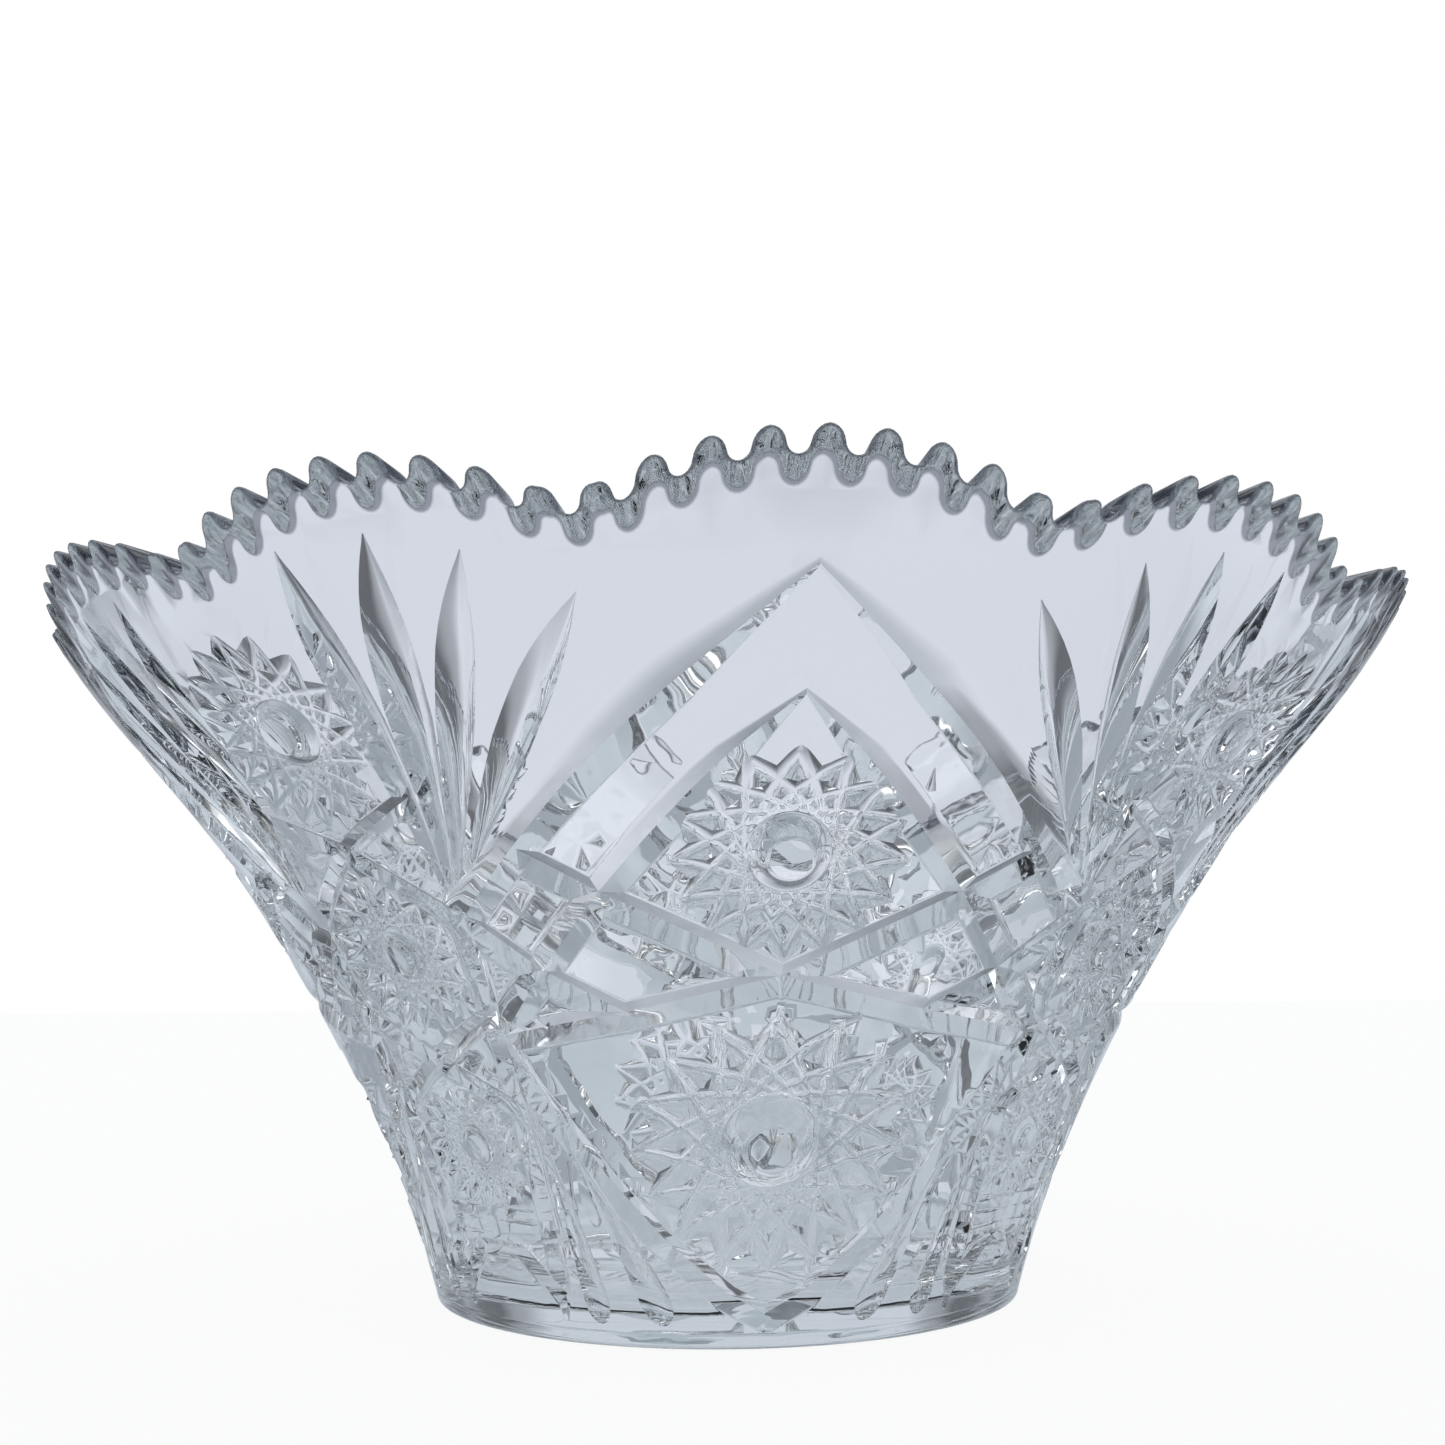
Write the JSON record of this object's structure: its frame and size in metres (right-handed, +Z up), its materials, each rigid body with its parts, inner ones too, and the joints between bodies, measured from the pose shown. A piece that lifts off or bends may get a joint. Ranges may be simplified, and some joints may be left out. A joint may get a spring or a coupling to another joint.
{
  "type": "punch bowl",
  "caption": "Flared pressed-glass punch bowl with a scalloped sawtooth rim, arched panels, star columns and a plain round foot; holds punch for serving.",
  "frame": {"origin": "centre of the foot's underside, on the table", "axes": "+Z up out of the bowl's mouth, -Y out of the middle of the front arch panel, +X to the right seen from the front"},
  "size_m": [0.2998, 0.2998, 0.144],
  "materials": {
    "glass": "clear, fire polished"
  },
  "bodies": {
    "root": {"foot": "glass", "arch_panel_1": "glass", "arch_panel_2": "glass", "arch_panel_3": "glass", "arch_panel_4": "glass", "star_column_1": "glass", "star_column_2": "glass", "star_column_3": "glass", "star_column_4": "glass"}
  },
  "joints": []
}
